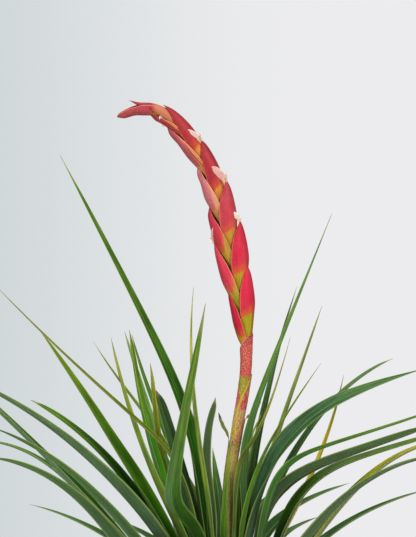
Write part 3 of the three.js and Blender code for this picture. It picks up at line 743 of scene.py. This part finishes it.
class Finish:
    """A material built from nodes. A value may be a number, a colour or a socket."""

    def __init__(self, name, roughness=0.5, specular=0.4):
        self.material = bpy.data.materials.new(name)
        self.material.use_nodes = True
        self.tree = self.material.node_tree
        self.nodes = self.tree.nodes
        self.skin = self.nodes["Principled BSDF"]
        self.skin.inputs["Roughness"].default_value = roughness
        self.skin.inputs["Specular IOR Level"].default_value = specular

    def put(self, socket, value):
        if isinstance(value, bpy.types.NodeSocket):
            self.tree.links.new(value, socket)
        elif isinstance(value, tuple) and len(value) == 3 and socket.type == "RGBA":
            socket.default_value = (*value, 1)
        else:
            socket.default_value = value

    def vector(self, name):
        node = self.nodes.new("ShaderNodeAttribute")
        node.attribute_name = name
        return node.outputs["Vector"]

    def parts(self, vector):
        node = self.nodes.new("ShaderNodeSeparateXYZ")
        self.put(node.inputs[0], vector)
        return node.outputs["X"], node.outputs["Y"], node.outputs["Z"]

    def scaled(self, vector, x, y, z):
        node = self.nodes.new("ShaderNodeVectorMath")
        node.operation = "MULTIPLY"
        self.put(node.inputs[0], vector)
        node.inputs[1].default_value = (x, y, z)
        return node.outputs["Vector"]

    def math(self, kind, a, b=0.0):
        node = self.nodes.new("ShaderNodeMath")
        node.operation = kind
        self.put(node.inputs[0], a)
        self.put(node.inputs[1], b)
        return node.outputs[0]

    def between(self, value, low, high, start=0.0, end=1.0):
        """value from low to high turned to start to end, eased and clamped."""
        node = self.nodes.new("ShaderNodeMapRange")
        node.interpolation_type = "SMOOTHSTEP"
        for socket, v in zip(node.inputs[:5], (value, low, high, start, end)):
            self.put(socket, v)
        return node.outputs[0]

    def noise(self, vector, scale, detail=2.0, rough=0.5):
        node = self.nodes.new("ShaderNodeTexNoise")
        self.put(node.inputs["Vector"], vector)
        node.inputs["Scale"].default_value = scale
        node.inputs["Detail"].default_value = detail
        node.inputs["Roughness"].default_value = rough
        return node.outputs["Fac"]

    def mix(self, factor, a, b, kind="MIX"):
        node = self.nodes.new("ShaderNodeMix")
        node.data_type = "RGBA"
        node.blend_type = kind
        for socket, v in ((node.inputs[0], factor), (node.inputs[6], a), (node.inputs[7], b)):
            self.put(socket, v)
        return node.outputs[2]

    def times(self, base, tint):
        return self.mix(1.0, base, tint, "MULTIPLY")

    def shade(self, factor, base, tint):
        """base, and base times tint where factor is 1."""
        return self.mix(factor, base, self.times(base, tint))

    def toward(self, factor, base, share, tint):
        """base, and base with this share of tint where factor is 1."""
        return self.mix(factor, base, self.mix(share, base, tint))

    def bands(self, value, stops):
        """One colour after the other along value: each stop is (from, to, colour)."""
        base = stops[0][2]
        for low, high, tint in stops[1:]:
            base = self.mix(self.between(value, low, high), base, tint)
        return base

    def bump(self, height, strength, distance):
        node = self.nodes.new("ShaderNodeBump")
        node.inputs["Strength"].default_value = strength
        node.inputs["Distance"].default_value = distance * MM
        self.put(node.inputs["Height"], height)
        self.put(self.skin.inputs["Normal"], node.outputs[0])

    def done(self, colour, roughness=None):
        self.put(self.skin.inputs["Base Color"], colour)
        if roughness is not None:
            self.put(self.skin.inputs["Roughness"], roughness)
        return self.material


def colour(r, g, b):
    """Linear colour of a screen colour from 0 to 255."""
    def channel(v):
        v /= 255
        return v / 12.92 if v <= 0.04045 else ((v + 0.055) / 1.055) ** 2.4
    return channel(r), channel(g), channel(b)


# Leaf tones: near the foot, along the blade, towards the tip, what the underside tends to, and how
# thick the grey scurf lies
UNDERSIDE = colour(150, 174, 124)
TONES = {
    "dark": (colour(20, 72, 0), colour(38, 98, 2), colour(92, 134, 30), UNDERSIDE, 0.03),
    "green": (colour(30, 98, 0), colour(62, 140, 0), colour(138, 170, 36), colour(128, 184, 76),
              0.02),
    "grey": (colour(26, 70, 12), colour(50, 100, 30), colour(108, 142, 76), UNDERSIDE, 0.09),
    "olive": (colour(50, 108, 0), colour(116, 148, 6), colour(180, 178, 54), UNDERSIDE, 0.02),
}


def leaf_finish(name, deep, middle, pale, below, scurf):
    """Living leaf: lengthwise nerves, darker streaks and lighter streaks of painted sheen
    highlight, pale margins and middle, grey scurf that is thicker underneath, and a dry tip."""
    f = Finish(name, 0.5, 0.1)
    place, grain = f.vector("place"), f.vector("grain")
    t, s, top = f.parts(place)
    light, gold, dull = f.parts(f.vector("own"))
    side = f.math("ABSOLUTE", s)
    nerves = f.noise(f.scaled(grain, 5.5, 0.09, 1), 1.0, 2.0, 0.6)
    blotch = f.noise(f.scaled(grain, 0.5, 0.11, 1), 1.0, 3.0)
    specks = f.noise(f.scaled(grain, 8.0, 4.5, 1), 1.0, 1.0)
    streaks = f.noise(f.scaled(grain, 1.5, 0.03, 1), 1.0, 1.0)

    base = f.mix(f.between(t, 0.1, 0.5), deep, middle)
    base = f.mix(f.between(t, 0.55, 1.0), base, pale)
    golden = f.math("MULTIPLY", gold, f.between(t, 0.1, 0.6, 0.4, 1.0))
    base = f.mix(golden, base, colour(186, 158, 22))
    base = f.mix(dull, base, colour(70, 98, 88))
    # Partly painted light and shade: the light value brightens or darkens the whole leaf, in part
    # for its own tone and in part to make up for how brightly it is lit.
    base = f.times(base, f.mix(light, colour(150, 158, 150), (1.5, 1.4, 1.3)))
    dim = f.times(base, colour(150, 168, 120))
    base = f.mix(f.between(nerves, 0.34, 0.6), dim, base)
    # Painted highlight: the lighter lengthwise streaks stand in for sheen. The next line makes
    # other streaks darker.
    base = f.shade(f.between(streaks, 0.42, 0.66, 0.0, 0.5), base, (1.7, 1.6, 1.4))
    base = f.shade(f.between(streaks, 0.42, 0.3, 0.0, 0.6), base, colour(150, 172, 130))
    base = f.shade(f.between(blotch, 0.35, 0.7, 0.0, 0.4), base, colour(150, 170, 110))
    base = f.toward(f.between(side, 0.1, 0.0, 0.0, 0.4), base, 0.45, colour(180, 210, 70))
    base = f.toward(f.between(side, 0.84, 0.97, 0.0, 0.6), base, 0.5, colour(190, 206, 100))
    under = f.between(top, 0.7, 0.3)
    base = f.toward(f.math("MULTIPLY", under, 0.4), base, 0.3, below)
    cover = f.math("ADD", scurf, f.math("MULTIPLY", under, 0.04))
    fleck = f.math("MULTIPLY", f.between(specks, 0.5, 0.66), cover)
    base = f.mix(fleck, base, colour(206, 214, 190))
    ragged = f.math("ADD", t, f.math("MULTIPLY", blotch, 0.05))
    base = f.mix(f.between(ragged, 0.985, 1.015, 0.0, 0.7), base, colour(166, 150, 92))
    base = f.mix(f.between(ragged, 1.01, 1.026, 0.0, 0.9), base, colour(92, 76, 54))
    base = f.mix(f.between(t, 0.1, 0.0, 0.0, 0.8), base, colour(176, 168, 122))
    f.bump(f.math("ADD", nerves, f.math("MULTIPLY", specks, 0.5)), 0.5, 0.08)
    return f.done(base, f.between(fleck, 0.0, 0.3, 0.42, 0.7))


# Colours of the flower bracts, for the oldest and for the youngest. The inner colours are the
# inner face's red-brown made lighter: painted light in the shaded gaps between the bracts.
BLADE_COLOURS = colour(218, 0, 58), colour(168, 24, 32)
TIP_COLOURS = colour(196, 0, 44), colour(148, 22, 32)
FOOT_COLOURS = colour(168, 158, 0), colour(220, 142, 50)
TURN_COLOURS = colour(222, 92, 40), colour(198, 70, 36)
INNER_COLOURS = colour(206, 62, 50), colour(176, 76, 42)


def bract_finish(name):
    """Folded bract: yellow-green foot, pink to red blade with a pale bloom on some, pale margins, a
    keel darker partly in its own colour and partly by painted shade at the rim, brown folds along
    the margins of the younger ones of the left-hand row."""
    f = Finish(name, 0.5, 0.12)
    place, grain = f.vector("place"), f.vector("grain")
    u, k, outer = f.parts(place)
    young, bloom, climb = f.parts(f.vector("own"))
    nerves = f.noise(f.scaled(grain, 4.2, 0.12, 1), 1.0, 2.0, 0.6)
    cloud = f.noise(f.scaled(grain, 0.34, 0.2, 1), 1.0, 2.0)
    specks = f.noise(f.scaled(grain, 6.0, 4.0, 1), 1.0, 1.5)

    blade = f.mix(young, *BLADE_COLOURS)
    blade = f.mix(f.between(u, 0.6, 1.0, 0.0, 0.8), blade, f.mix(young, *TIP_COLOURS))
    turning = f.mix(young, *TURN_COLOURS)
    foot = f.mix(young, *FOOT_COLOURS)
    level = f.math("ADD", u, f.math("MULTIPLY", f.math("SUBTRACT", cloud, 0.5), 0.08))
    level = f.math("SUBTRACT", level, f.between(k, 1.0, 0.0, 0.0, 0.06))
    climbed = f.math("MULTIPLY", climb, f.between(k, 0.45, 1.0, 0.0, 0.5))
    level = f.math("SUBTRACT", level, climbed)
    base = f.mix(f.between(level, 0.27, 0.33), foot, turning)
    base = f.mix(f.between(level, 0.31, 0.46), base, blade)
    deeper = f.times(base, colour(214, 196, 200))
    base = f.mix(f.between(nerves, 0.3, 0.65), deeper, base)
    base = f.toward(f.between(cloud, 0.4, 0.75, 0.0, 0.3), base, 0.25, colour(240, 120, 120))
    # Painted shade towards the keel, which lies at the rim of the bract as seen from the front;
    # partly also a darker keel line of its own.
    base = f.shade(f.between(k, 0.24, 0.0, 0.0, 0.8), base, colour(196, 120, 160))
    base = f.mix(f.between(k, 0.93, 0.99, 0.0, 0.6), base, colour(236, 160, 120))
    bloomed = f.math("MULTIPLY", f.between(specks, 0.4, 0.66, 0.35, 0.75), bloom)
    bloomed = f.math("MULTIPLY", bloomed, f.between(u, 0.25, 0.5, 0.35, 1.0))
    base = f.mix(bloomed, base, colour(232, 164, 168))
    folds = f.noise(f.scaled(grain, 1.8, 0.06, 1), 1.0, 1.0)
    folds = f.math("MULTIPLY", f.between(folds, 0.5, 0.66, 0.0, 0.85), f.between(climb, 0.4, 1.0))
    folds = f.math("MULTIPLY", folds, f.between(k, 0.35, 0.65))
    base = f.mix(folds, base, colour(128, 48, 22))
    wilted = f.mix(f.between(u, 0.6, 0.74), colour(186, 112, 82), colour(146, 40, 52))
    base = f.mix(f.between(climb, -0.2, -0.8), base, wilted)
    # Inner face: its own red-brown lightened, as painted light in the shaded gaps between bracts.
    base = f.mix(f.between(outer, 0.6, 0.4), base, f.mix(young, *INNER_COLOURS))
    f.bump(f.math("ADD", nerves, f.math("MULTIPLY", specks, 0.3)), 0.35, 0.07)
    return f.done(base, f.between(specks, 0.35, 0.7, 0.42, 0.56))


# Name of the material of each sheath, its bands of colour as (from, to, colour) up its length, and
# the colour of its margins
SHEATH_COLOURS = {
    "stalk_bract_01": (
        "sheath_low",
        [(0, 0, colour(150, 140, 50)), (0.5, 0.6, colour(170, 150, 60)),
         (0.72, 0.78, colour(116, 136, 30)), (0.93, 0.97, colour(58, 48, 44))],
        colour(196, 178, 110)),
    "stalk_bract_02": (
        "sheath_tan",
        [(0, 0, colour(150, 148, 40)), (0.25, 0.3, colour(156, 122, 48)),
         (0.5, 0.56, colour(184, 118, 72)), (0.78, 0.82, colour(180, 140, 84)),
         (0.9, 0.95, colour(166, 160, 50))],
        colour(196, 150, 90)),
    "stalk_bract_03": (
        "sheath_cream",
        [(0, 0, colour(186, 166, 10)), (0.2, 0.28, colour(198, 158, 88)),
         (0.48, 0.54, colour(204, 76, 74)), (0.66, 0.7, colour(194, 98, 70))],
        colour(176, 172, 30)),
    "stalk_bract_04": (
        "sheath_pink",
        [(0, 0, colour(158, 150, 0)), (0.35, 0.4, colour(202, 76, 66)),
         (0.8, 0.92, colour(184, 38, 50))],
        colour(226, 130, 110)),
}


def sheath_finish(name, stops, edge):
    """Sheath of the stalk: bands of colour up its length, nerves, pale and dark speckles and a
    margin of its own colour."""
    f = Finish(name, 0.6, 0.25)
    place, grain = f.vector("place"), f.vector("grain")
    u, e, outer = f.parts(place)
    nerves = f.noise(f.scaled(grain, 5.0, 0.12, 1), 1.0, 2.0, 0.6)
    cloud = f.noise(f.scaled(grain, 0.9, 0.35, 1), 1.0, 2.0)
    specks = f.noise(f.scaled(grain, 3.4, 2.2, 1), 1.0, 3.0, 0.7)
    level = f.math("ADD", u, f.math("MULTIPLY", f.math("SUBTRACT", cloud, 0.5), 0.05))
    base = f.bands(level, stops)
    deeper = f.times(base, colour(216, 196, 184))
    base = f.mix(f.between(nerves, 0.35, 0.62), deeper, base)
    base = f.toward(f.between(specks, 0.52, 0.62, 0.0, 0.75), base, 0.55, colour(246, 214, 184))
    base = f.shade(f.between(specks, 0.44, 0.34, 0.0, 0.85), base, colour(150, 84, 66))
    base = f.mix(f.between(e, 0.84, 0.92, 0.0, 0.85), base, edge)
    base = f.mix(f.between(e, -0.93, -0.99, 0.0, 0.6), base, edge)
    f.bump(specks, 0.5, 0.12)
    return f.done(base, 0.62)


def stalk_finish():
    """Bare stalk, green at its foot and tan further up, with dark speckles."""
    f = Finish("stalk_skin", 0.5, 0.35)
    place, grain = f.vector("place"), f.vector("grain")
    t, _, _ = f.parts(place)
    specks = f.noise(f.scaled(grain, 3.0, 1.2, 1), 1.0, 3.0, 0.7)
    base = f.mix(f.between(t, 0.1, 0.35), colour(150, 150, 66), colour(186, 110, 74))
    base = f.mix(f.between(t, 0.5, 0.9), base, colour(206, 150, 80))
    base = f.shade(f.between(specks, 0.4, 0.7, 0.0, 0.5), base, colour(190, 150, 120))
    f.bump(specks, 0.4, 0.1)
    return f.done(base, 0.55)


def petal_finish():
    """Thin petal that lets some light through: pale pink or cream, yellowish at its foot."""
    f = Finish("petal_skin", 0.5, 0.3)
    place, grain = f.vector("place"), f.vector("grain")
    u, e, _ = f.parts(place)
    nerves = f.noise(f.scaled(grain, 6.0, 0.5, 1), 1.0, 2.0)
    own = f.noise(f.scaled(grain, 0, 0, 2.3), 1.0, 0.0)
    base = f.mix(f.between(own, 0.42, 0.5), colour(206, 148, 138), colour(222, 212, 192))
    base = f.mix(f.between(u, 0.45, 0.0), base, colour(226, 206, 150))
    base = f.mix(f.between(nerves, 0.4, 0.7, 0.0, 0.5), base, colour(226, 160, 150))
    base = f.mix(f.between(f.math("ABSOLUTE", e), 0.8, 1.0, 0.0, 0.6), base, colour(240, 226, 220))
    f.bump(nerves, 0.3, 0.06)
    f.skin.inputs["Subsurface Weight"].default_value = 0.25
    f.skin.inputs["Subsurface Radius"].default_value = (1.0, 0.7, 0.6)
    f.skin.inputs["Subsurface Scale"].default_value = 0.6 * MM
    return f.done(base, 0.5)


def stem_finish():
    """Fibrous brown bark, greener towards the top."""
    f = Finish("stem_bark", 0.85, 0.2)
    place, grain = f.vector("place"), f.vector("grain")
    t, _, _ = f.parts(place)
    fibres = f.noise(f.scaled(grain, 2.4, 0.4, 1), 1.0, 4.0, 0.7)
    base = f.mix(f.between(fibres, 0.3, 0.7), colour(84, 62, 42), colour(168, 142, 104))
    base = f.mix(f.between(t, 0.35, 0.9), base, colour(150, 156, 96))
    f.bump(fibres, 0.8, 0.5)
    return f.done(base)


# The plant

draw = Draw(LEAF_SEED)
leaf_skins = {tone: leaf_finish("leaf_" + tone, *TONES[tone]) for tone in TONES}
low_leaves = Body()
tone_order = list(TONES)
for index, row in enumerate(LEAVES):
    tone, name = row[7], row[8]
    if name:
        body = Body()
        add_leaf(body, row, index, draw, 0)
        body.piece(name + "_blade", [leaf_skins[tone]], "leaf_" + tone, name)
    else:
        add_leaf(low_leaves, row, index, draw, tone_order.index(tone))
low_leaves.piece("low_leaves", [leaf_skins[tone] for tone in tone_order], "leaf_grey", "leafy_stem")


def upright(z):
    return Vector((0, 0, z)), Vector((0, 0, 1)), Vector((1, 0, 0)), Vector((0, -1, 0))


stem = Body()
tube(stem, upright, BARK_RADIUS, 5, sides=40, steps=60, ridges=0.06)
stem.piece("stem_bark", [stem_finish()], "leaf_grey", "leafy_stem")

# The rod lies just inside the solid stalk and ends between the last bracts
stalk_end = bract_base(BRACTS - 1) + 3
rod_radius = [(s, r - 0.04) for s, r in STALK_RADIUS if s < stalk_end] + [(stalk_end, 0.45)]
stalk = Body()
tube(stalk, stalk_at, rod_radius, 7, sides=16, steps=160, ridges=0.05)
stalk.piece("stalk_rod", [stalk_finish()], "stalk", "flower_stalk")

for number, (name, stations) in enumerate(SHEATHS.items()):
    body = Body()
    add_sheath(body, stations, number * SHEATH_OWN_STEP)
    slot = "bract_pink" if name == "stalk_bract_04" else "sheath"
    body.piece(name + "_leaf", [sheath_finish(*SHEATH_COLOURS[name])], slot, name)

bract_skin = bract_finish("bract_skin")
for i in range(BRACTS):
    body = Body()
    add_bract(body, i)
    name = "flower_bract_%02d" % (i + 1)
    body.piece(name + "_scale", [bract_skin], "bract_pink" if i < LATE else "bract_red", name)

petal_skin = petal_finish()
for number, i in enumerate(IN_FLOWER):
    body = Body()
    add_flower(body, i)
    name = "flower_%d" % (number + 1)
    body.piece(name + "_petals", [petal_skin], "petal", name)


# Floor, backdrop colour, lights and camera

# The backdrop is darker at the left of the plant, painted shade where less light falls on it. Its
# colour goes over between the two values of BACKDROP_TURNS, which are the X of the direction of
# view. As light it is dimmed to WORLD_LIGHT.
BACKDROP_LEFT = colour(203, 212, 214)
BACKDROP_RIGHT = colour(236, 236, 238)
BACKDROP_TURNS = (-0.15, 0.05)
WORLD_LIGHT = 0.55
FLOOR_R = 320.0
FLOOR_Z = -0.2
FLOOR_SIDES = 96
FLOOR_FADES = (0.55 * FLOOR_R * MM, 0.98 * FLOOR_R * MM)

bpy.context.scene.view_settings.view_transform = "Standard"

floor_mesh = bpy.data.meshes.new("floor")
rim = [Vector((FLOOR_R * math.cos(q), FLOOR_R * math.sin(q), FLOOR_Z)) * MM
       for q in (j / FLOOR_SIDES * 2 * math.pi for j in range(FLOOR_SIDES))]
floor_mesh.from_pydata(rim, [], [tuple(range(FLOOR_SIDES))])
floor = bpy.data.objects.new("floor", floor_mesh)
bpy.context.scene.collection.objects.link(floor)
f = Finish("floor_card", 0.9, 0.1)
where = f.nodes.new("ShaderNodeTexCoord").outputs["Object"]
length = f.nodes.new("ShaderNodeVectorMath")
length.operation = "LENGTH"
f.put(length.inputs[0], where)
fade = f.between(length.outputs["Value"], *FLOOR_FADES, 1.0, 0.0)
f.put(f.skin.inputs["Alpha"], fade)
floor_mesh.materials.append(f.done(colour(226, 228, 230)))

world = bpy.data.worlds.new("studio")
bpy.context.scene.world = world
world.use_nodes = True
tree = world.node_tree
way = tree.nodes.new("ShaderNodeTexCoord").outputs["Generated"]
split = tree.nodes.new("ShaderNodeSeparateXYZ")
tree.links.new(way, split.inputs[0])
across = tree.nodes.new("ShaderNodeMapRange")
across.interpolation_type = "SMOOTHSTEP"
for socket, v in zip(across.inputs[1:5], (*BACKDROP_TURNS, 0.0, 1.0)):
    socket.default_value = v
tree.links.new(split.outputs["X"], across.inputs[0])
tint = tree.nodes.new("ShaderNodeMix")
tint.data_type = "RGBA"
# Painted shade and light on the backdrop: darker to the left, lighter to the right.
tint.inputs[6].default_value = (*BACKDROP_LEFT, 1)
tint.inputs[7].default_value = (*BACKDROP_RIGHT, 1)
tree.links.new(across.outputs[0], tint.inputs[0])
tree.links.new(tint.outputs[2], tree.nodes["Background"].inputs["Color"])
seen = tree.nodes.new("ShaderNodeLightPath").outputs["Is Camera Ray"]
strength = tree.nodes.new("ShaderNodeMapRange")
strength.inputs[3].default_value = WORLD_LIGHT
strength.inputs[4].default_value = 1.0
tree.links.new(seen, strength.inputs[0])
tree.links.new(strength.outputs[0], tree.nodes["Background"].inputs["Strength"])


def soft_light(name, place, aim, size, power):
    lamp = bpy.data.lights.new(name, "AREA")
    lamp.shape = "DISK"
    lamp.size = size
    lamp.energy = power
    made = bpy.data.objects.new(name, lamp)
    made.location = place
    made.rotation_euler = (Vector(aim) - Vector(place)).to_track_quat("-Z", "Y").to_euler()
    bpy.context.scene.collection.objects.link(made)


soft_light("key", (0.45, -1.0, 0.75), (0, 0, 0.12), 0.5, 11.0)
soft_light("top", (-0.2, 0.0, 1.3), (0, 0, 0.1), 0.6, 9.0)
soft_light("fill", (-0.9, -0.7, 0.35), (0, 0, 0.12), 0.6, 4.5)

camera = bpy.data.cameras.new("camera")
camera.sensor_width = SENSOR
camera.lens = PIXELS_PER_MM * CAMERA_AWAY * SENSOR / PHOTO_TALL
camera.clip_start = 0.01
eye = bpy.data.objects.new("camera", camera)
eye.location = Vector((CAMERA_X, -CAMERA_AWAY, CAMERA_Z)) * MM
eye.rotation_euler = (math.pi / 2, 0, 0)
bpy.context.scene.collection.objects.link(eye)
bpy.context.scene.camera = eye
